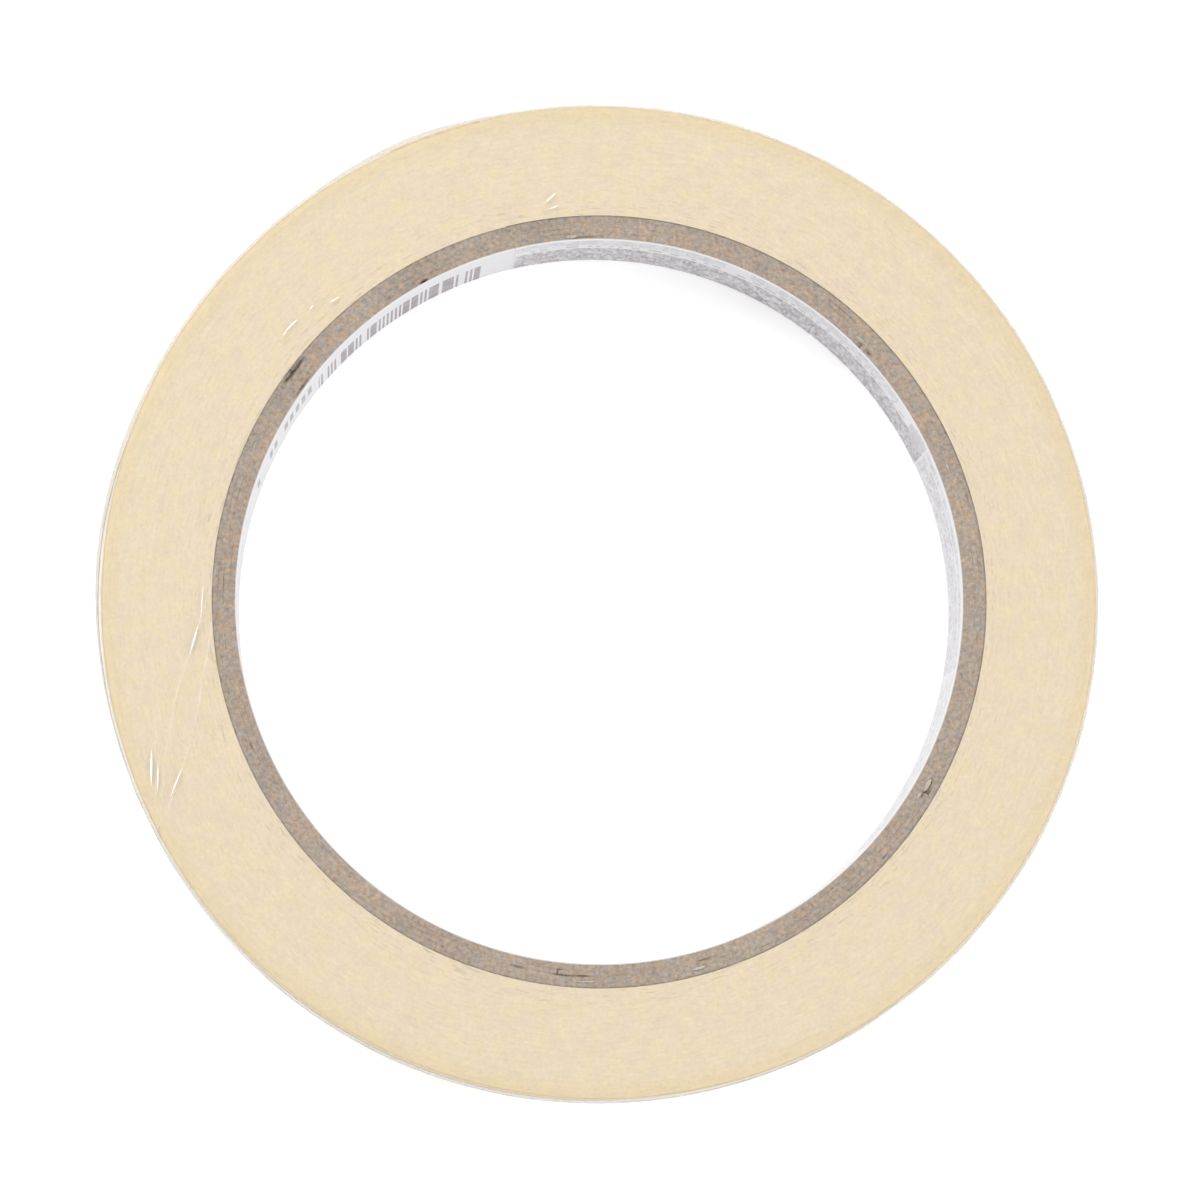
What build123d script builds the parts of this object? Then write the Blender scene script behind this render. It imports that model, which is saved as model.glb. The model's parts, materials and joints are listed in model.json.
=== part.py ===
from build123d import *
import os
from math import asin, degrees, radians, tan

# A roll of masking tape on a paper core, closed in clear shrink film.
# +Z is the roll's axis. The origin is on the axis, in the plane that the film rests on.
# Millimetres and degrees; angles are measured about +Z from +X.

# Roll
ROLL_WIDTH = 15.0
TAPE_RADIUS = 52.35
TAPE_THICKNESS = 0.137

# Loose end of the tape, at the end of the outermost turn
TAIL_LENGTH = 10.0
TAIL_ROOT_ANGLE = 104.0
TAIL_CLEARANCE = 0.03
TAIL_ROOT_GAP = 0.05

# Core: board plies wound one over another as helices, lined with a printed paper strip
BORE_RADIUS = 38.1
LINER_THICKNESS = 0.16
LINER_SEAM_ANGLE = 103.5
LINER_SEAM_GAP = 0.15
PLY_THICKNESS = 0.6
PLY_SEAM_GAP = 0.4
PLY_SEAM_SLOPE = 22.0
# Where each ply's seam reaches the front face, from the innermost ply out
PLY_SEAM_ANGLES = [45.0, 264.0, 330.0, 144.0]

# Shrink film: two panels that meet round the rim and lap over both faces
FILM_THICKNESS = 0.05
FILM_FACE_CLEARANCE = 0.05
FILM_RIM_CLEARANCE = 0.2
FILM_SEAM_GAP = 0.05
FILM_LAP_ON_CORE = 0.4
# Slack over the loose end, as an arc that stands off the round outline
SLACK_DEPTH = 0.6
SLACK_ARC_RADIUS = 30.0

FACE_Z = FILM_THICKNESS + FILM_FACE_CLEARANCE
MIDDLE_Z = FACE_Z + ROLL_WIDTH / 2
BOARD_RADIUS = BORE_RADIUS + LINER_THICKNESS
CORE_RADIUS = BOARD_RADIUS + PLY_THICKNESS * len(PLY_SEAM_ANGLES)
FILM_RADIUS = TAPE_RADIUS + FILM_RIM_CLEARANCE


def roll_ring(inner, outer):
    """A ring about the axis, as wide as the roll."""
    return Pos(0, 0, FACE_Z) * extrude(Circle(outer) - Circle(inner), ROLL_WIDTH)


def seam_slot(radius, front_angle, slope, gap):
    """The gap along a strip's meeting edges; it reaches the front face at front_angle."""
    half_run = ROLL_WIDTH / 2 / tan(radians(slope))
    middle_angle = front_angle - degrees(asin(half_run / radius))
    slot = Box(radius + PLY_THICKNESS, 4 * radius, gap, align=(Align.MIN, Align.CENTER, Align.CENTER))
    return Rot(0, 0, middle_angle) * Pos(0, 0, MIDDLE_Z) * Rot(slope, 0, 0) * slot


def core_ply(index):
    """One board strip. It is wound as a helix, so its butt seam slants across the core."""
    inner = BOARD_RADIUS + PLY_THICKNESS * index
    outer = inner + PLY_THICKNESS
    slot = seam_slot(outer, PLY_SEAM_ANGLES[index], PLY_SEAM_SLOPE, PLY_SEAM_GAP)
    return roll_ring(inner, outer) - slot


def core_liner():
    """The printed paper strip, bent once round the bore, with a straight seam."""
    slot = seam_slot(BOARD_RADIUS, LINER_SEAM_ANGLE, 90, LINER_SEAM_GAP)
    return roll_ring(BORE_RADIUS, BOARD_RADIUS) - slot


def winding_arcs():
    """Centre offsets and radii of the two half circles that grow by one thickness in a turn."""
    quarter = TAPE_THICKNESS / 4
    return (-quarter, TAPE_RADIUS - 3 * quarter), (quarter, TAPE_RADIUS - quarter)


def tape_winding():
    """The wound strip as one body, with the step where its outermost turn ends."""
    (first_x, first_radius), (second_x, second_radius) = winding_arcs()
    first = CenterArc((first_x, 0), first_radius, 0, 180)
    second = CenterArc((second_x, 0), second_radius, 180, 180)
    outline = make_face([first, second, Line(second @ 1, first @ 0)])
    ring = extrude(outline - Circle(CORE_RADIUS), ROLL_WIDTH)
    return Pos(0, 0, FACE_Z) * Rot(0, 0, TAIL_ROOT_ANGLE) * ring


def tape_tail():
    """The last stretch of the strip, which lies on the turn below and lifts about its root."""
    (centre_x, below), _ = winding_arcs()
    inner_radius = below + TAIL_CLEARANCE
    outer_radius = inner_radius + TAPE_THICKNESS
    start = degrees(TAIL_ROOT_GAP / outer_radius)
    sweep = degrees(TAIL_LENGTH / outer_radius)
    inner = CenterArc((centre_x, 0), inner_radius, start, sweep)
    outer = CenterArc((centre_x, 0), outer_radius, start, sweep)
    outline = make_face([inner, Line(inner @ 1, outer @ 1), outer, Line(outer @ 0, inner @ 0)])
    return Pos(0, 0, FACE_Z) * Rot(0, 0, TAIL_ROOT_ANGLE) * extrude(outline, ROLL_WIDTH)


def film_outline(offset):
    """The film's outline: a circle, with the slack arc over the tip of the loose end."""
    slack_angle = TAIL_ROOT_ANGLE + degrees(TAIL_LENGTH / TAPE_RADIUS)
    slack_centre = FILM_RADIUS + SLACK_DEPTH - SLACK_ARC_RADIUS
    slack = Rot(0, 0, slack_angle) * Pos(slack_centre, 0) * Circle(SLACK_ARC_RADIUS + offset)
    return Circle(FILM_RADIUS + offset) + slack


def film_front():
    """The front panel: a skirt round half the rim, and a flat lap over the tape and the core's edge."""
    skirt_z = MIDDLE_Z + FILM_SEAM_GAP / 2
    lap_z = FACE_Z + ROLL_WIDTH + FILM_FACE_CLEARANCE
    outside = film_outline(FILM_THICKNESS)
    skirt = Pos(0, 0, skirt_z) * extrude(outside - film_outline(0), lap_z - skirt_z)
    lap = Pos(0, 0, lap_z) * extrude(outside - Circle(CORE_RADIUS - FILM_LAP_ON_CORE), FILM_THICKNESS)
    return skirt + lap


def film_back(front):
    """The back panel is the front panel's mirror image."""
    return mirror(front, about=Plane.XY.offset(MIDDLE_Z))


def main():
    os.makedirs("parts", exist_ok=True)
    front = film_front()
    nodes = {f"core_ply_{index + 1}": core_ply(index) for index in range(len(PLY_SEAM_ANGLES))}
    nodes["core_liner"] = core_liner()
    nodes["tape_winding"] = tape_winding()
    nodes["tape_tail"] = tape_tail()
    nodes["film_front"] = front
    nodes["film_back"] = film_back(front)
    for name, shape in nodes.items():
        export_step(shape, f"parts/{name}.step")


main()
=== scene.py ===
"""A masking tape roll in clear shrink film: its looks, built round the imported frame."""

import json
import math
import random

import bmesh
import bpy
from mathutils import Matrix, Vector, noise


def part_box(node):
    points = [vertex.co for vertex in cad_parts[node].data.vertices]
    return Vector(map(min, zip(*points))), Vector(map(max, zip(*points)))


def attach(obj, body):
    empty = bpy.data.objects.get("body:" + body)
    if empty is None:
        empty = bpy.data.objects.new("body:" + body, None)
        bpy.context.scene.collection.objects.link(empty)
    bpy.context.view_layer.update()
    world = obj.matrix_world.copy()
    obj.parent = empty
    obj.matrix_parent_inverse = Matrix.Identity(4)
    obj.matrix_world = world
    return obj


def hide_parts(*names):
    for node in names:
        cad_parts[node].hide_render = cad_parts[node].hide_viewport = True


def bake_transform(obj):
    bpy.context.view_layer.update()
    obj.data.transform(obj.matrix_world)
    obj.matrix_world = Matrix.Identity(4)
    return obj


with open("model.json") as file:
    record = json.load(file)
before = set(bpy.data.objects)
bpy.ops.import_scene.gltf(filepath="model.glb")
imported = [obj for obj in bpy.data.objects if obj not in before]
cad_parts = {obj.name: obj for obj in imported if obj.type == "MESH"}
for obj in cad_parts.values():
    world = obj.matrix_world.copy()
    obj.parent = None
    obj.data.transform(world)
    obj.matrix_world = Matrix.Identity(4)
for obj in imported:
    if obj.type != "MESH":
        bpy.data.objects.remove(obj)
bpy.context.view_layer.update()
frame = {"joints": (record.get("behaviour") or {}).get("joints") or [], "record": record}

bl_info = {
    "name": "Masking Tape Roll",
    "version": (1, 0, 0),
    "blender": (4, 5, 0),
    "location": "3D View > Sidebar > Tape Roll",
    "description": "Builds the core, tape, film and studio of a wrapped masking tape roll",
    "category": "Object",
}

MM = 0.001
FULL_TURN = 2 * math.pi


# ---------------------------------------------------------------- what the frame gives


def reach(node):
    """A round node's outer radius."""
    low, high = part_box(node)
    return (high.x - low.x) / 2


def record_item(group, name):
    """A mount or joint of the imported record, by its name."""
    items = frame["record"]["mounts"] if group == "mounts" else frame["joints"]
    return next(item for item in items if item["name"] == name)


PLY_NODES = ["core_ply_1", "core_ply_2", "core_ply_3", "core_ply_4"]
BORE_RADIUS = record_item("mounts", "hub_bore")["dims"]["r_mm"] * MM
BOARD_RADIUS = reach("core_liner")
CORE_RADIUS = reach("core_ply_4")
BACK_Z, FRONT_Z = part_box("core_liner")[0].z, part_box("core_liner")[1].z
MIDDLE_Z = (BACK_Z + FRONT_Z) / 2
FILM_TOP_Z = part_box("film_front")[1].z
FILM_RADIUS = reach("film_front")
TAIL_ROOT = Vector(record_item("joints", "tail_peel")["pos_m"])
ROOT_ANGLE = math.atan2(TAIL_ROOT.y, TAIL_ROOT.x)
ROOT_RADIUS = TAIL_ROOT.to_2d().length


# ---------------------------------------------------------------- sizes and colours


class RollSizes(bpy.types.PropertyGroup):
    """Sizes of the wound tape and its loose end."""

    turns: bpy.props.IntProperty(
        name="Turns", description="Layers of tape under the loose end", default=85, min=10)
    tail_clearance: bpy.props.FloatProperty(
        name="Tail Clearance", description="How far the loose end stands off the turn below",
        default=0.03 * MM, unit="LENGTH")
    tail_length: bpy.props.FloatProperty(
        name="Tail Length", description="Length of the loose end",
        default=10 * MM, unit="LENGTH")
    groove: bpy.props.FloatProperty(
        name="Groove", description="Depth of the line between two layers on the roll's face",
        default=0.022 * MM, unit="LENGTH")
    crepe: bpy.props.FloatProperty(
        name="Crepe", description="Height of the crinkles across the paper",
        default=0.05 * MM, unit="LENGTH")


class CoreSizes(bpy.types.PropertyGroup):
    """Sizes of the board core's seams."""

    seam_gap: bpy.props.FloatProperty(
        name="Seam Gap", description="Gap along a ply's seam, measured round the core",
        default=0.9 * MM, unit="LENGTH")
    seam_slope: bpy.props.FloatProperty(
        name="Seam Slope", description="Angle between a ply's seam and the roll's face",
        default=math.radians(22), subtype="ANGLE")
    liner_seam: bpy.props.FloatProperty(
        name="Lining Seam", description="Where the printed lining's ends meet",
        default=math.radians(103.5), subtype="ANGLE")


class FilmSizes(bpy.types.PropertyGroup):
    """Sizes of the shrink film."""

    thickness: bpy.props.FloatProperty(
        name="Thickness", description="Thickness of the film", default=0.03 * MM, unit="LENGTH")
    waviness: bpy.props.FloatProperty(
        name="Waviness", description="Height of the slack ripples near the rim",
        default=0.1 * MM, unit="LENGTH")
    slack: bpy.props.FloatProperty(
        name="Slack", description="How far the film stands off over the loose end",
        default=0.35 * MM, unit="LENGTH")


def colour(name, description, default):
    """A colour property."""
    return bpy.props.FloatVectorProperty(
        name=name, description=description, default=default, size=3, subtype="COLOR", min=0, max=1)


class RollColours(bpy.types.PropertyGroup):
    """Base colours, in linear light."""

    tape: colour("Tape", "Cream of the paper tape", (0.625, 0.530, 0.343))
    tape_pink: colour("Tape, Pinker", "Pinker patches of the tape's face", (0.612, 0.512, 0.377))
    tape_rim: colour("Tape Rim", "Deeper cream at the roll's rim", (0.598, 0.478, 0.285))
    board: colour("Board", "Grey-brown of the chipboard", (0.322, 0.260, 0.210))
    flake: colour("Flake", "Pale torn fibre on the board", (0.50, 0.45, 0.39))
    board_warm: colour("Board, Warm", "Orange fibres in the chipboard", (0.375, 0.272, 0.190))
    board_cool: colour("Board, Cool", "Blue-grey fibres in the chipboard", (0.300, 0.262, 0.230))
    paper: colour("Lining", "White of the printed lining", (0.66, 0.657, 0.668))
    paper_edge: colour("Lining Edge", "Cut edge of the lining", (0.50, 0.47, 0.445))
    ink: colour("Ink", "Grey-mauve of the print", (0.285, 0.255, 0.275))
    film: colour("Film", "Sheen of the clear film over the faces", (0.72, 0.72, 0.71))
    film_rim: colour("Film Rim", "Sheen of the clear film round the rim", (0.67, 0.672, 0.675))
    # The white laid on the film's creases, folds and glints is painted highlight.
    crease: colour("Crease", "White of a crease or glint in the film", (1.0, 1.0, 1.0))
    floor: colour("Floor", "Pale studio floor", (0.93, 0.93, 0.93))


# ---------------------------------------------------------------- shader expressions


class Value:
    """A number or vector socket. Arithmetic on it adds Math nodes to its material."""

    def __init__(self, shader, socket):
        self.shader = shader
        self.socket = socket

    def apply(self, operation, *others, reverse=False):
        terms = [self, *others]
        if reverse:
            terms.reverse()
        return self.shader.value("ShaderNodeMath", {"operation": operation}, dict(enumerate(terms)))

    def __add__(self, other):
        return self.apply("ADD", other)

    def __sub__(self, other):
        return self.apply("SUBTRACT", other)

    def __rsub__(self, other):
        return self.apply("SUBTRACT", other, reverse=True)

    def __mul__(self, other):
        return self.apply("MULTIPLY", other)

    def __truediv__(self, other):
        return self.apply("DIVIDE", other)

    def __gt__(self, other):
        return self.apply("GREATER_THAN", other)

    def __lt__(self, other):
        return self.apply("LESS_THAN", other)

    __radd__ = __add__
    __rmul__ = __mul__

    def ramp(self, low, high):
        """0 below low and 1 above high, smooth in between; turned round where low is above high."""
        if low > high:
            return 1 - self.ramp(high, low)
        limits = {"Value": self, "From Min": low, "From Max": high}
        return self.shader.value("ShaderNodeMapRange", {"interpolation_type": "SMOOTHSTEP"}, limits)

    def band(self, low, high, soft):
        """1 between low and high, fading over soft."""
        return self.ramp(low, low + soft) * self.ramp(high, high - soft)


class Shader:
    """A material's node tree, with one method that adds any node."""

    def __init__(self, name):
        self.material = bpy.data.materials.new(name)
        self.material.use_nodes = True
        self.tree = self.material.node_tree
        self.tree.nodes.clear()

    def node(self, kind, settings=None, inputs=None):
        """Adds a node: its settings first, then its sockets' values or links."""
        made = self.tree.nodes.new(kind)
        for key, setting in (settings or {}).items():
            setattr(made, key, setting)
        for key, given in (inputs or {}).items():
            socket = made.inputs[key]
            if isinstance(given, Value):
                self.tree.links.new(given.socket, socket)
            elif socket.type == "RGBA" and len(given) == 3:
                socket.default_value = (*given, 1)
            else:
                socket.default_value = given
        return made

    def value(self, kind, settings=None, inputs=None, output=0):
        return Value(self, self.node(kind, settings, inputs).outputs[output])

    def place(self):
        """The point on the object, in millimetres."""
        point = self.value("ShaderNodeTexCoord", output="Object")
        return self.scaled(point, 1 / MM)

    def scaled(self, vector, factor):
        return self.value("ShaderNodeVectorMath", {"operation": "SCALE"}, {0: vector, "Scale": factor})

    def split(self, vector):
        parts = self.node("ShaderNodeSeparateXYZ", None, {0: vector})
        return [Value(self, socket) for socket in parts.outputs]

    def joined(self, x, y, z):
        return self.value("ShaderNodeCombineXYZ", None, {0: x, 1: y, 2: z})

    def noise(self, vector, scale, detail=2.0, roughness=0.5):
        inputs = {"Vector": vector, "Scale": scale, "Detail": detail, "Roughness": roughness}
        return self.value("ShaderNodeTexNoise", None, inputs)

    def scatter(self, x, y):
        """A random number for each unit square."""
        cell = self.joined(x.apply("FLOOR"), y.apply("FLOOR"), 0.0)
        return self.value("ShaderNodeTexWhiteNoise", {"noise_dimensions": "2D"}, {"Vector": cell})

    def mix(self, factor, first, second, blend="MIX"):
        """Two colours, mixed."""
        settings = {"data_type": "RGBA", "blend_type": blend}
        return self.value("ShaderNodeMix", settings, {0: factor, 6: first, 7: second}, output=2)

    def shade(self, tint, lightness):
        """A colour made lighter or darker by a number."""
        grey = self.joined(lightness, lightness, lightness)
        return self.mix(1.0, tint, grey, "MULTIPLY")

    def polar(self):
        """Angle about the roll's axis in degrees, radius and height in millimetres, and the point."""
        place = self.place()
        x, y, z = self.split(place)
        radius = (x * x + y * y).apply("SQRT")
        return y.apply("ARCTAN2", x) * math.degrees(1), radius, z, place

    def swept(self, radius, place, around, across):
        """A point for noise that runs in streaks round the axis, with no seam."""
        x, y, z = self.split(place)
        return self.joined(x / radius * around, y / radius * around, radius * across + z * 0.3)

    def bump(self, height, strength, distance):
        inputs = {"Height": height, "Strength": strength, "Distance": distance}
        return self.value("ShaderNodeBump", None, inputs)

    def surface(self, **inputs):
        """Ends the tree with a Principled BSDF."""
        named = {key.replace("_", " "): given for key, given in inputs.items()}
        principled = self.node("ShaderNodeBsdfPrincipled", None, named)
        output = self.node("ShaderNodeOutputMaterial")
        self.tree.links.new(principled.outputs[0], output.inputs[0])
        return self.material


def tape_material(colours):
    """Cut edges of many paper layers, pressed at the rim, and the crinkled outer face, with painted shade
    in its crinkles' troughs and painted light on their crests.
    """
    shader = Shader("Crepe_Paper_Tape")
    _, radius, z, place = shader.polar()
    streaks = shader.noise(shader.swept(radius, place, 26.0, 3.6), 1.0, 3.0, 0.65)
    patches = shader.noise(place, 0.55, 4.0, 0.7)
    mottle = shader.noise(shader.scaled(place, -1.0), 0.9, 4.0, 0.7)
    grain = shader.noise(place, 2.9, 3.0, 0.7)
    dashes = shader.noise(shader.swept(radius, place, 26.0, 5.0), 1.0, 1.0)
    near_core = radius.ramp(CORE_RADIUS / MM + 3.5, CORE_RADIUS / MM + 0.2)
    rim = radius.ramp(ROOT_RADIUS / MM - 2.6, ROOT_RADIUS / MM - 0.5)
    tint = shader.mix(patches.ramp(0.30, 0.60), tuple(colours.tape), tuple(colours.tape_pink))
    tint = shader.mix(rim * 0.6, tint, tuple(colours.tape_rim))
    lightness = 0.742 + streaks * 0.20 + grain * 0.30 + mottle * 0.14
    lightness = lightness - dashes.ramp(0.60, 0.70) * (near_core + 0.2) * 0.16
    fibres = shader.noise(place, 14.0, 3.0, 0.65)
    x, y, _ = shader.split(place)
    crinkle = shader.noise(shader.joined(x * 2.6, y * 2.6, z * 0.45), 1.0, 3.0, 0.6)
    face = radius.ramp(ROOT_RADIUS / MM - 0.30, ROOT_RADIUS / MM - 0.16)
    # Painted shade and light: the outer face is darker in its crinkles' troughs and lighter on their
    # crests.
    lightness = lightness - face * (0.5 - crinkle) * 0.35
    normal = shader.bump(fibres * 0.6 + streaks * 0.5 + face * crinkle * 3.0, 0.3, 0.04 * MM)
    return shader.surface(Base_Color=shader.shade(tint, lightness), Normal=normal,
                          Roughness=0.5 + grain * 0.16)


def board_material(colours):
    """Grey-brown chipboard: recycled fibres of mixed colour, cut across."""
    shader = Shader("Chipboard")
    _, radius, z, place = shader.polar()
    warm = shader.noise(place, 1.3, 3.0, 0.65)
    cool = shader.noise(shader.scaled(place, -1.0), 1.1, 3.0, 0.6)
    flecks = shader.noise(place, 2.4, 4.0, 0.75)
    stretch = shader.noise(place, 0.11, 2.0)
    strands = shader.noise(shader.swept(radius, place, 60.0, 5.0), 1.0, 2.0, 0.6)
    tint = shader.mix(warm.ramp(0.50, 0.64), tuple(colours.board), tuple(colours.board_warm))
    tint = shader.mix(cool.ramp(0.50, 0.64), tint, tuple(colours.board_cool))
    edge = radius.ramp(CORE_RADIUS / MM - 0.25, CORE_RADIUS / MM - 0.03)
    lightness = 0.08 + flecks * 1.56 + stretch * 0.30 - strands.ramp(0.56, 0.70) * 0.20 - edge * 0.24
    rough = shader.noise(place, 9.0, 4.0, 0.7)
    normal = shader.bump(rough + flecks, 0.55, 0.06 * MM)
    return shader.surface(Base_Color=shader.shade(tint, lightness), Normal=normal, Roughness=0.92)


def flake_material(colours):
    """A paler torn fibre of the same board."""
    shader = Shader("Board_Flake")
    place = shader.place()
    fibres = shader.noise(place, 5.0, 3.0, 0.7)
    tint = shader.mix(fibres.ramp(0.4, 0.65), tuple(colours.flake), tuple(colours.board))
    normal = shader.bump(fibres, 0.4, 0.03 * MM)
    return shader.surface(Base_Color=shader.shade(tint, 0.8 + fibres * 0.4), Normal=normal, Roughness=0.9)


def lining_material(colours):
    """White paper: generic bars on one stretch, fine illegible print on the next, little after that."""
    shader = Shader("Printed_Lining")
    angle, radius, z, place = shader.polar()
    depth = FRONT_Z / MM - z
    tone = shader.noise(place, 0.45, 2.0)
    ink = bar_mask(shader, angle) * depth.ramp(5.2, 5.6) * (0.6 + tone * 0.6)
    ink = ink.apply("MAXIMUM", block_mask(shader, angle, depth) * 0.7)
    ink = ink.apply("MAXIMUM", text_mask(shader, angle, depth) * (0.7 + tone * 0.6))
    ink = ink.apply("MAXIMUM", far_mask(shader, angle, depth) * 0.5)
    inside = radius.ramp(BORE_RADIUS / MM + 0.1, BORE_RADIUS / MM + 0.04)
    tint = shader.mix(ink * inside, tuple(colours.paper), tuple(colours.ink))
    tint = shader.mix(inside, tuple(colours.paper_edge), tint)
    fibres = shader.noise(place, 6.0, 4.0, 0.65)
    normal = shader.bump(fibres, 0.25, 0.03 * MM)
    return shader.surface(Base_Color=shader.shade(tint, 0.93 + fibres * 0.14), Normal=normal,
                          Roughness=0.58 + fibres * 0.15)


def bar_mask(shader, angle):
    """Upright bars of uneven width: generic, and they encode nothing."""
    steps = angle / 0.8
    wide = (shader.scatter(steps * 0.5 + 3.0, steps * 0.0) > 0.8) * ((steps * 0.5).apply("FRACT") < 0.8)
    thin = (shader.scatter(steps + 7.0, steps * 0.0) > 0.3) * (steps.apply("FRACT") < 0.5)
    blocks = angle.band(114.0, 115.4, 0.05) + angle.band(116.2, 117.6, 0.05)
    return wide.apply("MAXIMUM", thin).apply("MAXIMUM", blocks) * angle.band(109.0, 141.0, 0.05)


def block_mask(shader, angle, depth):
    """A row of small blocks beside the bars."""
    steps = angle / 1.7
    block = (steps.apply("FRACT") < 0.6) * (shader.scatter(steps, steps * 0.0) > 0.25)
    return block * depth.band(4.0, 9.5, 0.1) * angle.band(142.0, 161.0, 0.1)


def text_mask(shader, angle, depth):
    """Marks too fine to read, a plain line in front of them, and a dotted line in front of that."""
    fine = shader.scatter(angle / 0.42, depth / 1.1)
    coarse = shader.scatter(angle / 0.95 + 5.0, depth / 1.9)
    dots = (shader.scatter(angle / 0.7, depth * 0.0) > 0.6) * depth.band(4.3, 5.1, 0.1)
    body = (0.12 + fine * 0.7 + coarse * 0.42) * depth.ramp(5.7, 6.1)
    heading = (fine * 0.5 + coarse * 0.4) * depth.band(0.3, 4.0, 0.3) * 0.6
    gaps = 1 - (angle.band(65.0, 69.5, 0.1) + angle.band(28.5, 34.0, 0.1)) * depth.ramp(4.0, 3.8)
    rows = body.apply("MAXIMUM", heading).apply("MAXIMUM", dots * 0.8) * gaps
    block = angle.band(25.0, 30.0, 0.1) * depth.ramp(1.6, 1.8) * 0.5
    strong = rows.apply("MAXIMUM", block) * angle.band(25.0, 103.3, 0.1) * 0.8
    plain = (fine * 0.45 + coarse * 0.3) * depth.band(1.2, 14.2, 0.4) * (1 - depth.band(3.8, 4.7, 0.2))
    return strong + plain * (angle.band(-11.0, 25.0, 0.5) * 0.75 + angle.band(-43.0, -11.0, 0.5) * 0.5)


def far_mask(shader, angle, depth):
    """Fainter rows on the stretch that faces away."""
    marks = shader.scatter(angle / 0.6, depth / 1.2) * (depth / 1.2).apply("FRACT").ramp(0.75, 0.6)
    return marks * depth.band(2.5, 12.5, 0.2) * angle.band(-165.0, -60.0, 0.3)


def film_material(colours, name, least):
    """Clear film: nearly nothing face on, with a pale sheen where it turns away."""
    shader = Shader(name)
    _, radius, _, place = shader.polar()
    facing = shader.value("ShaderNodeLayerWeight", None, {"Blend": 0.5}, output="Facing")
    haze = shader.noise(place, 0.35, 3.0, 0.6)
    ripples = shader.noise(place, 1.4, 2.0, 0.5)
    skirt = radius.ramp(FILM_RADIUS / MM - 0.35, FILM_RADIUS / MM - 0.1)
    alpha = least + facing.apply("POWER", 2.2) * 0.52 + haze.ramp(0.5, 0.75) * 0.025 + skirt * 0.02
    tint = shader.mix(skirt, tuple(colours.film), tuple(colours.film_rim))
    normal = shader.bump(ripples, 0.15, 0.05 * MM)
    return shader.surface(Base_Color=tint, Alpha=alpha, Roughness=0.08,
                          Normal=normal)


def crease_highlight_material(colours, name, clearest, gaps):
    """Painted highlight on film folded on itself: a pale hairline, standing for light caught by the fold,
    that comes and goes along its length.
    """
    shader = Shader(name)
    place = shader.place()
    along = shader.noise(place, 0.45, 2.0, 0.6)
    grain = shader.noise(place, 2.5, 2.0, 0.6)
    alpha = (1 - along.ramp(0.62, 0.36) * gaps) * (0.45 + grain * 0.9) * clearest
    return shader.surface(Base_Color=(*colours.crease, 1.0), Alpha=alpha, Roughness=0.15 + grain * 0.1)


def floor_material(colours):
    shader = Shader("Studio_Floor")
    place = shader.place()
    grain = shader.noise(place, 0.02, 2.0)
    tint = shader.shade(tuple(colours.floor), 0.99 + grain * 0.02)
    return shader.surface(Base_Color=tint, Roughness=0.9, Emission_Color=tint, Emission_Strength=0.25)


# ---------------------------------------------------------------- mesh helpers


def polar_point(radius, angle, z):
    return Vector((radius * math.cos(angle), radius * math.sin(angle), z))


def ripple(*at):
    """Smooth noise from -1 to 1."""
    return noise.noise(Vector(at))


def around(radius, angle, rate):
    """A point for noise that closes on itself round the axis."""
    return rate * math.cos(angle), rate * math.sin(angle), radius


def wrapped(columns, rows, place, ends=True):
    """A sheet laid out by place(share along the columns, row), joined up where its edges meet."""
    bm = bmesh.new()
    bmesh.ops.create_grid(bm, x_segments=columns, y_segments=rows, size=0.5)
    for vert in bm.verts:
        vert.co = place(vert.co.x + 0.5, round((vert.co.y + 0.5) * rows))
    return capped(bm, ends)


def capped(bm, ends=True):
    """Joins edges that meet, closes the ends, and turns every face outwards."""
    bmesh.ops.remove_doubles(bm, verts=bm.verts, dist=0.001 * MM)
    if ends:
        open_edges = [edge for edge in bm.edges if edge.is_boundary]
        bmesh.ops.holes_fill(bm, edges=open_edges, sides=0)
    bmesh.ops.recalc_face_normals(bm, faces=bm.faces)
    return bm


def piece(name, bm, material, body=None, nodes=(), sharp=40):
    """Makes the finished object, hides the imported parts it stands in for, and rides it on its body."""
    mesh = bpy.data.meshes.new(name)
    bm.to_mesh(mesh)
    bm.free()
    mesh.materials.append(material)
    mesh.shade_smooth()
    mesh.set_sharp_from_angle(angle=math.radians(sharp))
    made = bpy.data.objects.new(name, mesh)
    bpy.context.scene.collection.objects.link(made)
    if body:
        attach(made, body)
    if nodes:
        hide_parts(*nodes)
    return made


# ---------------------------------------------------------------- core

# Where the board's cut face is chipped or split: angle, radius and half length round the core in
# millimetres, half width, and depth. A negative depth is a raised fibre.
BOARD_MARKS = [
    (143.2, 40.22, 1.2, 0.17, 1.60), (144.5, 38.45, 1.2, 0.08, 0.30), (118.9, 38.34, 0.3, 0.15, 1.20),
    (92.0, 38.45, 1.6, 0.10, 0.25), (94.5, 38.60, 0.6, 0.10, -0.12), (44.5, 38.85, 0.7, 0.16, -0.16),
    (42.8, 38.62, 0.3, 0.12, 0.45), (-29.0, 39.55, 0.5, 0.12, 0.35), (-31.0, 39.50, 0.3, 0.10, 0.30),
    (-27.0, 39.60, 0.25, 0.08, 0.25), (243.0, 39.50, 0.5, 0.08, -0.10), (257.5, 39.38, 0.8, 0.07, 0.35),
    (264.5, 39.50, 1.3, 0.07, 0.30), (267.5, 39.42, 0.8, 0.06, 0.35), (272.0, 39.38, 0.9, 0.05, 0.20),
    (286.0, 39.20, 0.8, 0.07, 0.35), (16.0, 40.30, 0.7, 0.06, 0.22), (61.0, 39.90, 0.5, 0.06, 0.18),
    (203.0, 39.60, 0.7, 0.06, 0.20), (318.0, 40.20, 0.6, 0.06, 0.20), (172.0, 39.20, 0.5, 0.06, 0.18),
]
PLY_SEAMS = [45.0, 264.0, 330.0, 144.0]


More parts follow.
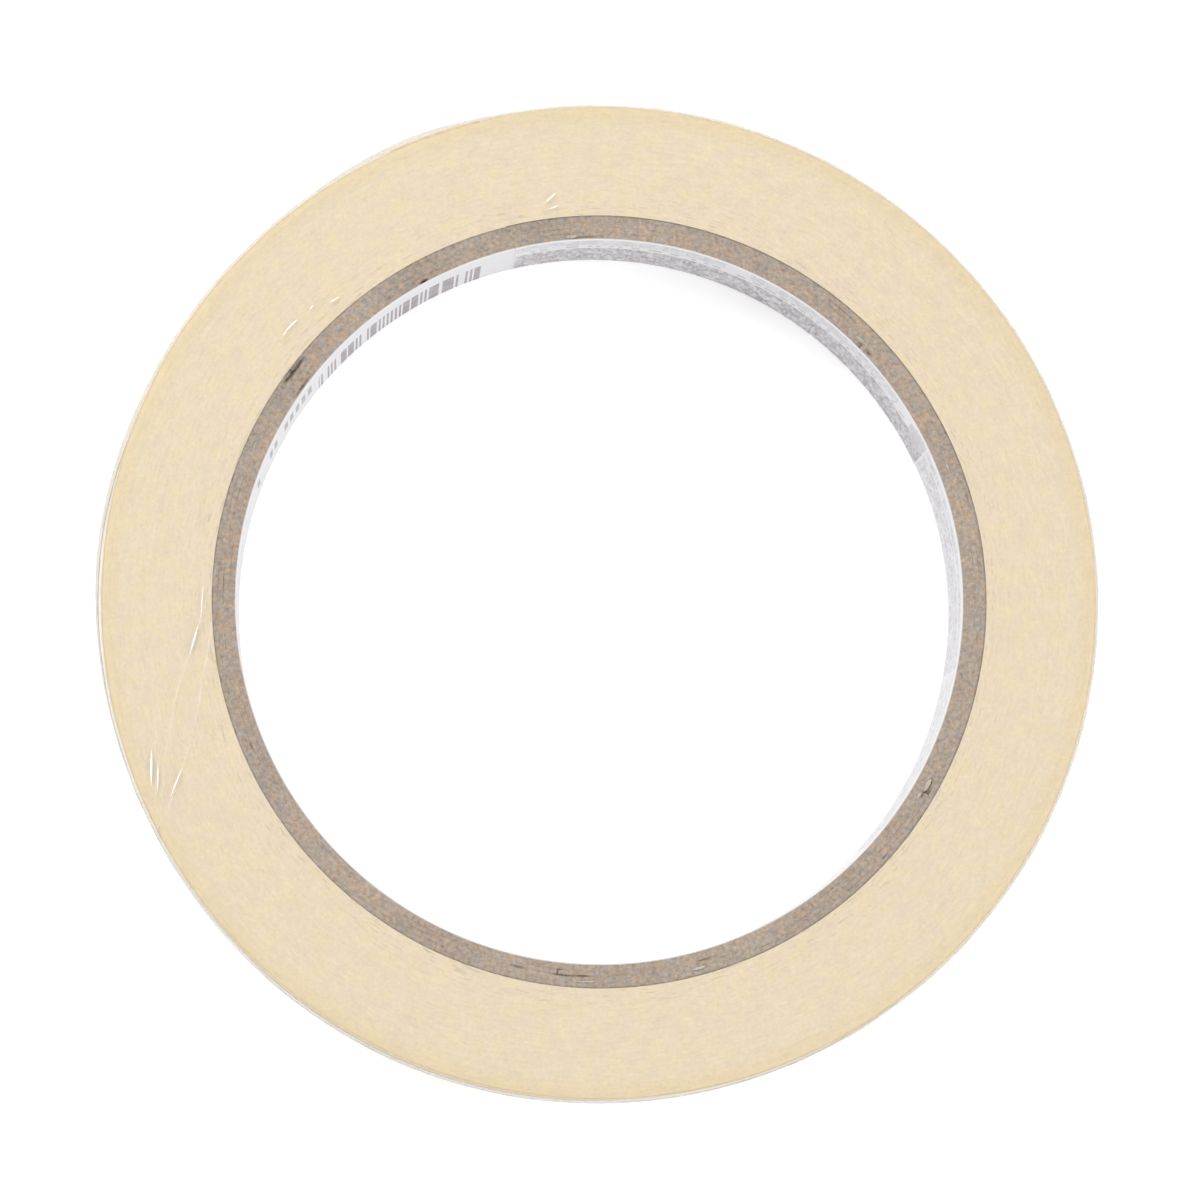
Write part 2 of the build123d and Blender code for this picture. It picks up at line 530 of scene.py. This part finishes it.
def board_mark(radius, angle):
    """How far the cut face is sunk at a point."""
    sunk = 0.0
    for mark_angle, mark_radius, half_length, half_width, depth in BOARD_MARKS:
        off = (angle - math.radians(mark_angle) + math.pi) % FULL_TURN - math.pi
        along = off * radius / (half_length * MM)
        across = (radius / MM - mark_radius) / half_width
        near = along * along + across * across
        if near < 6:
            sunk += depth * MM * math.exp(-near)
    return sunk


def ply_outline(inner, outer):
    """A ply's section: close rows across the cut faces, with softened corners."""
    width = outer - inner
    corner = 0.012 * MM
    rows = [inner + width * share for share in (0.07, 0.2, 0.35, 0.5, 0.65, 0.8, 0.93)]
    heights = [BACK_Z + (FRONT_Z - BACK_Z) * step / 20 for step in range(1, 20)]
    outline = [(inner, BACK_Z + corner)] + [(row, BACK_Z) for row in rows]
    outline += [(outer, BACK_Z + corner)] + [(outer, height) for height in heights]
    outline += [(outer, FRONT_Z - corner)] + [(row, FRONT_Z) for row in reversed(rows)]
    outline += [(inner, FRONT_Z - corner)] + [(inner, height) for height in reversed(heights)]
    return outline


def board_point(radius, angle, z, inner, outer):
    """A point of a ply, with its two cut faces roughened and split along the joints."""
    if min(z - BACK_Z, FRONT_Z - z) < 0.1 * MM:
        side = 1 if z > MIDDLE_Z else -1
        at = polar_point(radius, angle, z) / MM
        fuzz = 0.030 * ripple(*(at * 2.2)) + 0.018 * ripple(*(at * 6.0))
        split = max(0.0, ripple(angle * 9, outer / MM * 5, side * 3.0) - 0.15) * 0.12
        to_joint = min(radius - inner, outer - radius) / MM / 0.07
        z += side * (fuzz - split * math.exp(-to_joint * to_joint)) * MM
        z -= side * board_mark(radius, angle * side)
    return polar_point(radius, angle, z)


class CORE_OT_board(bpy.types.Operator):
    """Build the four chipboard plies, each with its slanting seam"""

    bl_idname = "tape_roll.board"
    bl_label = "Core Board"

    def execute(self, context):
        sizes = context.scene.tape_roll_core
        material = board_material(context.scene.tape_roll_colours)
        inner = BOARD_RADIUS
        for number, (node, seam) in enumerate(zip(PLY_NODES, PLY_SEAMS), 1):
            bm = self.ply(inner, reach(node), math.radians(seam), sizes)
            piece(f"Core_Ply_{number}", bm, material, "roll", [node])
            inner = reach(node)
        return {"FINISHED"}

    def ply(self, inner, outer, seam, sizes):
        """One ply. Its seam slants, so each row round it starts further on than the row behind."""
        outline = ply_outline(inner, outer)
        gap = sizes.seam_gap / outer
        slant = 1 / (outer * math.tan(sizes.seam_slope))

        def place(share, row):
            radius, z = outline[row % len(outline)]
            angle = seam + gap / 2 + (FULL_TURN - gap) * share + slant * (z - FRONT_Z)
            return board_point(radius, angle, z, inner, outer)

        return wrapped(900, len(outline), place)


# Torn paper fibres that stand off the cut face: angle, radius, length and width in millimetres, lift
FLAKES = [
    (44.6, 38.95, 1.9, 0.34, 0.22), (-29.4, 39.45, 1.5, 0.42, 0.25), (-31.3, 39.20, 0.6, 0.30, 0.20),
    (94.4, 38.55, 1.3, 0.30, 0.18), (-92.5, 40.00, 2.6, 0.20, 0.10), (-75.0, 39.90, 1.4, 0.30, 0.10),
    (243.0, 39.60, 0.7, 0.22, 0.12), (21.0, 39.3, 0.9, 0.18, 0.10), (156.0, 39.7, 1.1, 0.16, 0.10),
]


class CORE_OT_flakes(bpy.types.Operator):
    """Build the torn fibres that stand off the board's cut face"""

    bl_idname = "tape_roll.flakes"
    bl_label = "Board Flakes"

    def execute(self, context):
        material = flake_material(context.scene.tape_roll_colours)
        for number, (degrees, radius, length, width, lift) in enumerate(FLAKES, 1):
            turn = math.radians(degrees)

            def place(share, row):
                along = share - 0.5
                taper = max(0.03, 1 - (2 * along) ** 2) ** 0.5
                side = (row % 10) / 9 if row < 10 else (19 - row) / 9
                across = (side - 0.5) * width * taper
                across += ripple(share * 4, number, side) * 0.10 * width
                off = (radius + across) * MM
                height = 0.02 + lift * max(0.0, side) ** 1.5 * taper + (0.03 if row >= 10 else 0.0)
                return polar_point(off, turn + along * length * MM / off, FRONT_Z + (height - 0.04) * MM)

            piece(f"Core_Flake_{number}", wrapped(24, 20, place), material, "roll")
        return {"FINISHED"}


class CORE_OT_lining(bpy.types.Operator):
    """Build the printed paper that lines the bore"""

    bl_idname = "tape_roll.lining"
    bl_label = "Bore Lining"

    def execute(self, context):
        seam = context.scene.tape_roll_core.liner_seam
        gap = 0.02 * MM / BORE_RADIUS
        heights = [BACK_Z + (FRONT_Z - BACK_Z) * step / 10 for step in range(11)]
        outline = [(BORE_RADIUS, z) for z in heights] + [(BOARD_RADIUS, z) for z in reversed(heights)]

        def place(share, row):
            radius, z = outline[row % len(outline)]
            angle = seam + gap / 2 + (FULL_TURN - gap) * share
            edge = math.exp(-min(z - BACK_Z, FRONT_Z - z) / MM / 0.5)
            fray = ripple(angle * 60, z, 2.0) * 0.05 + ripple(angle * 17, 5.0, z) * 0.04
            return polar_point(radius, angle, z + (1 if z > MIDDLE_Z else -1) * fray * edge * MM)

        bm = wrapped(900, len(outline), place)
        piece("Core_Lining", bm, lining_material(context.scene.tape_roll_colours), "roll",
              ["core_liner"])
        return {"FINISHED"}


# ---------------------------------------------------------------- tape


def layer_height(turn, angle, side):
    """How far a layer's edge stands proud of the face, in millimetres. It runs on from turn to turn."""
    slow = ripple(turn * 0.35, side * 11.0, 0.0) * 0.020
    fast = ripple(turn * 1.7, side * 5.0, 2.0) * 0.012
    local = ripple(turn * 1.1, math.cos(angle) * 6, math.sin(angle) * 6 + side) * 0.010
    return slow + fast + local


def pressed_rim(radius, outer):
    """How far the outermost layers are rolled over by the film, in millimetres."""
    inside = max(0.0, 1 - (outer - radius) / (0.9 * MM))
    return 0.16 * inside * inside


class TAPE_OT_winding(bpy.types.Operator):
    """Build the wound tape as one spiral, every layer's edge in relief"""

    bl_idname = "tape_roll.winding"
    bl_label = "Tape Winding"

    def execute(self, context):
        sizes = context.scene.tape_roll_sizes
        outer = ROOT_RADIUS - sizes.tail_clearance
        thickness = (outer - CORE_RADIUS) / sizes.turns
        rows = 2 * (sizes.turns - 2) + 1
        outline = [(row, BACK_Z, -1) for row in range(rows)]
        outline += [(row, FRONT_Z, 1) for row in reversed(range(rows))]

        def place(share, index):
            row, z, side = outline[index % len(outline)]
            angle = ROOT_ANGLE + share * FULL_TURN
            radius = CORE_RADIUS + thickness * (row / 2 + (share if row else share * 0.4))
            relief = layer_height(row / 2 + share, angle, side) - pressed_rim(radius, outer)
            groove = sizes.groove / MM if row % 2 == 0 else 0.0
            return polar_point(radius, angle, z + side * (relief - groove) * MM)

        piece("Tape_Winding", wrapped(240, len(outline), place),
              tape_material(context.scene.tape_roll_colours), "roll", ["tape_winding"],
              sharp=60)
        return {"FINISHED"}


def crepe(length, z, height):
    """Crinkles across the paper, which run on along its length."""
    broad = ripple(length / MM * 1.4, z / MM * 0.22, 3.0)
    fine = ripple(length / MM * 3.1, z / MM * 0.5, 9.0)
    return height * (broad * 0.6 + abs(fine) * 0.7)


def strip(sizes, first, last, columns, lift):
    """A stretch of tape as a closed mesh, from one share of a turn to another, 1 being the root."""
    outer = ROOT_RADIUS - sizes.tail_clearance
    thickness = (outer - CORE_RADIUS) / sizes.turns
    heights = [BACK_Z + (FRONT_Z - BACK_Z) * step / 24 for step in range(25)]
    outline = [(True, z) for z in heights] + [(False, z) for z in reversed(heights)]

    def place(along, row):
        on_top, z = outline[row % len(outline)]
        share = first + (last - first) * along
        length = share * FULL_TURN * outer
        radius = outer + thickness * (share - 1) + lift
        radius += crepe(length, z, sizes.crepe) if on_top else -thickness * 0.96
        side = 1 if z > MIDDLE_Z else -1
        edge = min(z - BACK_Z, FRONT_Z - z) < 0.1 * MM
        sunk = pressed_rim(outer, outer) - 0.02 * ripple(length / MM * 2.2, side, 4.0) if edge else 0.0
        return polar_point(radius, ROOT_ANGLE + (share - 1) * FULL_TURN, z - side * sunk * MM)

    return wrapped(columns, len(outline), place)


class TAPE_OT_outer_turn(bpy.types.Operator):
    """Build the outermost turn, with its crinkled face"""

    bl_idname = "tape_roll.outer_turn"
    bl_label = "Outer Turn"

    def execute(self, context):
        bm = strip(context.scene.tape_roll_sizes, 0.0, 1.0, 1800, 0.0)
        piece("Tape_Outer_Turn", bm, bpy.data.materials["Crepe_Paper_Tape"], "roll", [],
              sharp=60)
        return {"FINISHED"}


class TAPE_OT_tail(bpy.types.Operator):
    """Build the loose end, which runs on round the roll past its root, standing a little off it"""

    bl_idname = "tape_roll.tail"
    bl_label = "Loose End"

    def execute(self, context):
        sizes = context.scene.tape_roll_sizes
        sweep = sizes.tail_length / (FULL_TURN * ROOT_RADIUS)
        bm = strip(sizes, 1.0, 1.0 + sweep, 64, sizes.tail_clearance * 0.5)
        made = piece("Tape_Tail", bm, bpy.data.materials["Crepe_Paper_Tape"], None, ["tape_tail"],
                     sharp=60)
        along = polar_point(ROOT_RADIUS, ROOT_ANGLE + math.pi / 2, 0) - Vector((0, 0, 0))
        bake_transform(made)
        return {"FINISHED"}


# ---------------------------------------------------------------- film

FILM_COLUMNS = 720
LAP_ROWS = 22
CORNER_ROWS = 6
SKIRT_ROWS = 12
SKIRT_CREASES = 46
BEAD_SIDES = 8
# Millimetres
CORNER_RADIUS = 0.75
LAP_ON_CORE = 0.35
FOLD_HEIGHT = 0.20
FOLD_SPREAD = 0.42
GLINT_LIFT = 0.27
# Folds that gather towards the corner of the bag, as (x, y) in millimetres
CORNER = (-45.9, -23.6)
FOLDS = {
    "Inner": [(-40.4, -0.5), (-40.9, -5.0), (-41.6, -8.8), (-42.15, -12.4), (-43.6, -17.9),
              (-44.9, -21.6), (-45.5, -23.2)],
    "Middle": [(-40.2, 3.1), (-41.0, 0.6), (-41.8, -2.0), (-42.9, -5.9), (-44.2, -9.4), (-45.1, -14.5),
               (-45.7, -19.0), CORNER],
    "Outer": [(-46.3, -11.5), (-46.5, -16.0), (-46.4, -19.6), (-46.3, -22.4)],
}
# The corner's ear, which sticks out past the rim
EARS = [
    [(-46.0, -23.8), (-46.1, -25.0), (-46.05, -25.9), (-45.85, -26.7)],
    [(-47.7, -21.3), (-47.95, -21.6), (-48.0, -22.1), (-47.9, -22.7)],
]
# Painted highlights: short white glints that stand for light off small wrinkles in the film, as name,
# ends in millimetres, width
GLINTS = [
    ("A", (-41.55, 1.5), (-41.8, -2.0), 0.12), ("B", (-42.0, -2.6), (-42.95, -6.0), 0.26),
    ("C", (-46.85, -15.9), (-46.85, -19.6), 0.26), ("D", (-46.15, -17.2), (-46.2, -20.2), 0.18),
    ("E", (-43.6, -17.6), (-44.85, -20.8), 0.16), ("F", (-30.2, 31.0), (-30.5, 30.5), 0.18),
    ("G", (-28.5, 31.2), (-27.4, 31.9), 0.15), ("H", (-33.2, 28.1), (-31.8, 29.5), 0.20),
    ("I", (-5.9, 41.9), (-4.6, 43.1), 0.16), ("J", (-5.4, 41.3), (-4.4, 41.7), 0.13),
    ("K", (-33.4, 27.7), (-32.9, 28.2), 0.12),
]


def from_segment(point, first, second):
    """Distance from a point to a segment, and the share along it."""
    a, b = Vector(first), Vector(second)
    along = b - a
    share = min(1.0, max(0.0, (point - a).dot(along) / along.length_squared))
    return (point - a - along * share).length, share


def fold_height(x, y):
    """Height of the gathered folds over the face, in millimetres."""
    point = Vector((x, y)) / MM
    if point.x > -38 or not -28 < point.y < 8:
        return 0.0
    height = 0.0
    for path in FOLDS.values():
        near = min(from_segment(point, a, b)[0] for a, b in zip(path, path[1:]))
        height = max(height, FOLD_HEIGHT * math.exp(-(near / FOLD_SPREAD) ** 2))
    return height


def film_outline(lap, half_gap):
    """Half the film's section: the lap over the face, the turned corner and the skirt round the rim."""
    top = FILM_TOP_Z - MIDDLE_Z
    corner = CORNER_RADIUS * MM
    side = FILM_RADIUS
    points = [(lap + (side - corner - lap) * step / LAP_ROWS, top) for step in range(LAP_ROWS + 1)]
    for step in range(1, CORNER_ROWS + 1):
        turn = math.pi / 2 * step / CORNER_ROWS
        points.append((side - corner + corner * math.sin(turn), top - corner + corner * math.cos(turn)))
    for step in range(1, SKIRT_ROWS + 1):
        points.append((side, (top - corner) * (1 - step / SKIRT_ROWS) + half_gap))
    return points


def bulge(angle, centre, spread):
    """1 at an angle in degrees, fading to 0 round about it."""
    return math.exp(-(((math.degrees(angle) - centre + 180) % 360 - 180) / spread) ** 2)


def film_offset(radius, angle, height, front, sizes):
    """How a point of the film moves outwards and off the face, in millimetres."""
    seed = 0.0 if front else 40.0
    wave = sizes.waviness / MM
    pleats = max(0.0, ripple(math.cos(angle) * 14, math.sin(angle) * 14, seed))
    pleats += 0.6 * max(0.0, ripple(math.cos(angle) * 31, math.sin(angle) * 31, seed + 3))
    to_rim = math.exp(-((ROOT_RADIUS - radius) / MM / 2.2)) if radius < ROOT_RADIUS else 1.0
    x, y = radius / MM * math.cos(angle), radius / MM * math.sin(angle)
    broad = ripple(x * 0.16, y * 0.16, seed * 0.16)
    off_face = 0.05 + 0.05 * broad + wave * pleats * to_rim
    on_skirt = 1.0 if radius > ROOT_RADIUS else 0.0
    waist = ripple(math.cos(angle) * 9, math.sin(angle) * 9, height / MM * 0.3 + seed)
    outward = on_skirt * (0.05 * waist + 0.7 * wave * pleats * max(0.0, height / MM / 7.5))
    over_tail = bulge(angle, 113.0, 9.0) * sizes.slack / MM
    outward += on_skirt * (over_tail + bulge(angle, 173.0, 16.0) * 0.32)
    return outward, off_face


def film_half(front, sizes):
    """One panel of the film, as a closed thin sheet."""
    outline = film_outline(CORE_RADIUS - LAP_ON_CORE * MM, 0.025 * MM)
    side = 1 if front else -1

    def place(share, row):
        radius, height = outline[row]
        angle = share * FULL_TURN
        outward, off_face = film_offset(radius, angle, height, front, sizes)
        on_face = min(1.0, height / (7 * MM))
        point = polar_point(radius + outward * MM, angle, 0)
        rise = off_face * on_face
        if front:
            rise += fold_height(point.x, point.y) * on_face
        point.z = max(0.0, MIDDLE_Z + side * (height + rise * MM))
        return point

    bm = wrapped(FILM_COLUMNS, len(outline) - 1, place, ends=False)
    bmesh.ops.solidify(bm, geom=bm.faces[:], thickness=sizes.thickness)
    bmesh.ops.recalc_face_normals(bm, faces=bm.faces)
    return bm


class FILM_OT_panels(bpy.types.Operator):
    """Build the two panels of clear film"""

    bl_idname = "tape_roll.film"
    bl_label = "Shrink Film"

    def execute(self, context):
        sizes = context.scene.tape_roll_film
        material = film_material(context.scene.tape_roll_colours, "Clear_Film", 0.02)
        for front, name in ((True, "front"), (False, "back")):
            piece(f"Film_{name.title()}", film_half(front, sizes), material, f"film_{name}",
                  [f"film_{name}"], sharp=50)
        return {"FINISHED"}


def hairline(points, widths, lift):
    """A tapered ridge, of folded film or of painted highlight, through (x, y) points in millimetres,
    lying on the face.
    """
    curve = bpy.data.curves.new("hairline", "CURVE")
    curve.dimensions = "3D"
    curve.bevel_depth = 1.0 * MM
    curve.bevel_resolution = 2
    curve.use_fill_caps = True
    spline = curve.splines.new("NURBS")
    spline.points.add(len(points) - 1)
    z = FILM_TOP_Z + lift
    for target, (x, y), width in zip(spline.points, points, widths):
        target.co = (x * MM, y * MM, z, 1)
        target.radius = width
    spline.order_u = 3
    spline.use_endpoint_u = True
    spline.resolution_u = 8
    holder = bpy.data.objects.new("hairline", curve)
    mesh = bpy.data.meshes.new_from_object(holder)
    bm = bmesh.new()
    bm.from_mesh(mesh)
    for vert in bm.verts:
        vert.co.z = z + (vert.co.z - z) * 0.6
    bpy.data.objects.remove(holder)
    bpy.data.curves.remove(curve)
    bpy.data.meshes.remove(mesh)
    return capped(bm)


def skirt_hairline(angle, slant, first, last, width, side):
    """A hairline of painted highlight along a crease down the skirt, from one height to another off the
    middle, leaning round the rim.
    """
    sizes = bpy.context.scene.tape_roll_film
    bm = bmesh.new()
    bmesh.ops.create_cone(bm, cap_ends=True, segments=8, radius1=1, radius2=1, depth=1)
    upright = [edge for edge in bm.edges if abs(edge.verts[0].co.z - edge.verts[1].co.z) > 0.5]
    bmesh.ops.subdivide_edges(bm, edges=upright, cuts=9, use_grid_fill=True)
    for vert in bm.verts:
        share = vert.co.z + 0.5
        thick = width * MM * (0.15 + math.sin(math.pi * min(0.97, max(0.03, share))))
        height = first + (last - first) * share
        turn = math.radians(angle + slant * share + 0.4 * ripple(share * 3, angle, 1.0))
        turn += vert.co.y * thick / FILM_RADIUS
        outward = film_offset(FILM_RADIUS, turn, height * MM, side > 0, sizes)[0]
        vert.co = polar_point(FILM_RADIUS + outward * MM + vert.co.x * thick * 0.5, turn,
                              MIDDLE_Z + side * height * MM)
    return capped(bm)


class FILM_OT_skirt(bpy.types.Operator):
    """Build painted highlights along the creases down the skirts, and the welded bead along each slit
    edge
    """

    bl_idname = "tape_roll.skirt"
    bl_label = "Skirt Creases"

    def execute(self, context):
        highlight_paint = crease_highlight_material(context.scene.tape_roll_colours, "Skirt_Crease_Highlight", 0.6, 1.0)
        picker = random.Random(7)
        for side, name in ((1, "front"), (-1, "back")):
            joined = bmesh.new()
            for number in range(SKIRT_CREASES):
                angle = number * 360 / SKIRT_CREASES + picker.uniform(-3, 3)
                top = picker.uniform(6.3, 7.0)
                low = top - picker.uniform(1.0, 4.5) * picker.uniform(0.4, 1.0)
                crease = skirt_hairline(angle, picker.uniform(-2.5, 2.5), low, top,
                                        picker.uniform(0.03, 0.07), side)
                mesh = bpy.data.meshes.new("crease")
                crease.to_mesh(mesh)
                crease.free()
                joined.from_mesh(mesh)
                bpy.data.meshes.remove(mesh)
            piece(f"Film_Crease_Highlights_{name.title()}", joined, highlight_paint, f"film_{name}")
            self.bead(side, name, context)
        return {"FINISHED"}

    def bead(self, side, name, context):
        """The melted edge of the slit."""
        sizes = context.scene.tape_roll_film

        def place(share, row):
            angle = share * FULL_TURN
            outward = film_offset(FILM_RADIUS, angle, 0.0, side > 0, sizes)[0]
            turn = row / BEAD_SIDES * FULL_TURN
            thick = (0.05 + 0.02 * ripple(*around(5, angle, 30))) * MM
            return polar_point(FILM_RADIUS + outward * MM + thick * math.cos(turn), angle,
                               MIDDLE_Z + side * 0.08 * MM + thick * math.sin(turn))

        material = film_material(context.scene.tape_roll_colours, f"Bead_{name}", 0.12)
        piece(f"Film_Bead_{name.title()}", wrapped(FILM_COLUMNS, BEAD_SIDES, place), material,
              f"film_{name}")


class FILM_OT_folds(bpy.types.Operator):
    """Build painted highlights along the folds that gather at the film's corner, the corner's ears, and
    painted glints on its short wrinkles
    """

    bl_idname = "tape_roll.folds"
    bl_label = "Film Folds"

    def execute(self, context):
        colours = context.scene.tape_roll_colours
        faint_highlight_paint = crease_highlight_material(colours, "Faint_Fold_Highlight", 0.075, 0.55)
        highlight_paint = crease_highlight_material(colours, "Painted_Glint", 0.6, 0.2)
        # Pale hairlines of painted highlight along the folds; the folds' ridges themselves are in the
        # film's own shape.
        for name, path in FOLDS.items():
            widths = [0.03] + [0.15] * (len(path) - 2) + [0.05]
            piece(f"Film_Fold_Highlight_{name}", hairline(path, widths, FOLD_HEIGHT * MM), faint_highlight_paint, "film_front")
        for number, path in enumerate(EARS, 1):
            material = film_material(colours, f"Film_Ear_{number}", 0.12)
            piece(f"Film_Ear_{number}", hairline(path, [0.05, 0.2, 0.22, 0.05], -0.1 * MM), material,
                  "film_front")
        # Each glint is a white sliver of painted highlight, lifted over the film.
        for name, first, last, width in GLINTS:
            a, b = Vector(first), Vector(last)
            path = [a.lerp(b, share) for share in (0, 0.25, 0.5, 0.75, 1)]
            widths = [0.01, width * 0.4, width * 0.5, width * 0.4, 0.01]
            piece(f"Film_Painted_Glint_{name}", hairline(path, widths, GLINT_LIFT * MM), highlight_paint, "film_front")
        return {"FINISHED"}


# ---------------------------------------------------------------- stage


CAMERA_LENS = 183.0
CAMERA_DISTANCE = 0.64
CAMERA_TILT = math.radians(5.4)
LIGHT_SIZE = 0.5
WORLD_STRENGTH = 0.86


class STAGE_OT_studio(bpy.types.Operator):
    """Build the pale floor, the soft lights and the camera"""

    bl_idname = "tape_roll.studio"
    bl_label = "Studio"

    def execute(self, context):
        scene = context.scene
        bm = bmesh.new()
        bmesh.ops.create_grid(bm, x_segments=2, y_segments=2, size=3.0)
        floor = piece("Floor", bm, floor_material(scene.tape_roll_colours))
        self.add_world(scene)
        self.add_light("Softbox", (-0.5, 0.45, 0.75), 5.0)
        self.add_light("Fill", (0.6, -0.3, 0.6), 2.5)
        self.add_camera(scene)
        scene.view_settings.view_transform = "Standard"
        return {"FINISHED"}

    def add_world(self, scene):
        scene.world = bpy.data.worlds.new("Studio")
        scene.world.use_nodes = True
        background = scene.world.node_tree.nodes["Background"]
        background.inputs["Color"].default_value = (1, 1, 1, 1)
        background.inputs["Strength"].default_value = WORLD_STRENGTH

    def add_light(self, name, place, watts):
        data = bpy.data.lights.new(name, "AREA")
        data.size = LIGHT_SIZE
        data.energy = watts
        light = bpy.data.objects.new(name, data)
        bpy.context.scene.collection.objects.link(light)
        light.location = place
        light.rotation_euler = (-Vector(place)).to_track_quat("-Z", "Y").to_euler()

    def add_camera(self, scene):
        """Nearly straight down on the face, a little from the lower left."""
        data = bpy.data.cameras.new("Camera")
        data.lens = CAMERA_LENS
        data.sensor_width = 36
        camera = bpy.data.objects.new("Camera", data)
        scene.collection.objects.link(camera)
        aside = Vector((-0.44, -0.90, 0)).normalized()
        way = aside * math.sin(CAMERA_TILT) + Vector((0, 0, math.cos(CAMERA_TILT)))
        target = Vector((0, 0, FRONT_Z))
        camera.location = target + way * CAMERA_DISTANCE
        across = Vector((0, 1, 0)).cross(way).normalized()
        camera.rotation_euler = Matrix((across, way.cross(across), way)).transposed().to_euler()
        scene.camera = camera


# ---------------------------------------------------------------- add-on


class VIEW3D_PT_tape_roll(bpy.types.Panel):
    """Lists the sizes, the colours and the build steps"""

    bl_label = "Tape Roll"
    bl_idname = "VIEW3D_PT_tape_roll"
    bl_space_type = "VIEW_3D"
    bl_region_type = "UI"
    bl_category = "Tape Roll"

    def draw(self, context):
        layout = self.layout
        scene = context.scene
        for group in (scene.tape_roll_sizes, scene.tape_roll_core, scene.tape_roll_film,
                      scene.tape_roll_colours):
            box = layout.box()
            for name in group.bl_rna.properties.keys():
                if name not in ("rna_type", "name"):
                    box.prop(group, name)
        for operator in BUILD_ORDER:
            layout.operator(operator.bl_idname)


GROUPS = {
    "tape_roll_sizes": RollSizes,
    "tape_roll_core": CoreSizes,
    "tape_roll_film": FilmSizes,
    "tape_roll_colours": RollColours,
}
BUILD_ORDER = (CORE_OT_board, CORE_OT_flakes, CORE_OT_lining, TAPE_OT_winding, TAPE_OT_outer_turn,
               TAPE_OT_tail, FILM_OT_panels, FILM_OT_skirt, FILM_OT_folds, STAGE_OT_studio)


def register():
    for cls in (*GROUPS.values(), *BUILD_ORDER, VIEW3D_PT_tape_roll):
        bpy.utils.register_class(cls)
    for name, cls in GROUPS.items():
        setattr(bpy.types.Scene, name, bpy.props.PointerProperty(type=cls))


def unregister():
    for name in GROUPS:
        delattr(bpy.types.Scene, name)
    for cls in (*GROUPS.values(), *BUILD_ORDER, VIEW3D_PT_tape_roll):
        bpy.utils.unregister_class(cls)


def main():
    register()
    for operator in BUILD_ORDER:
        group, name = operator.bl_idname.split(".")
        getattr(getattr(bpy.ops, group), name)()


if __name__ == "__main__":
    main()
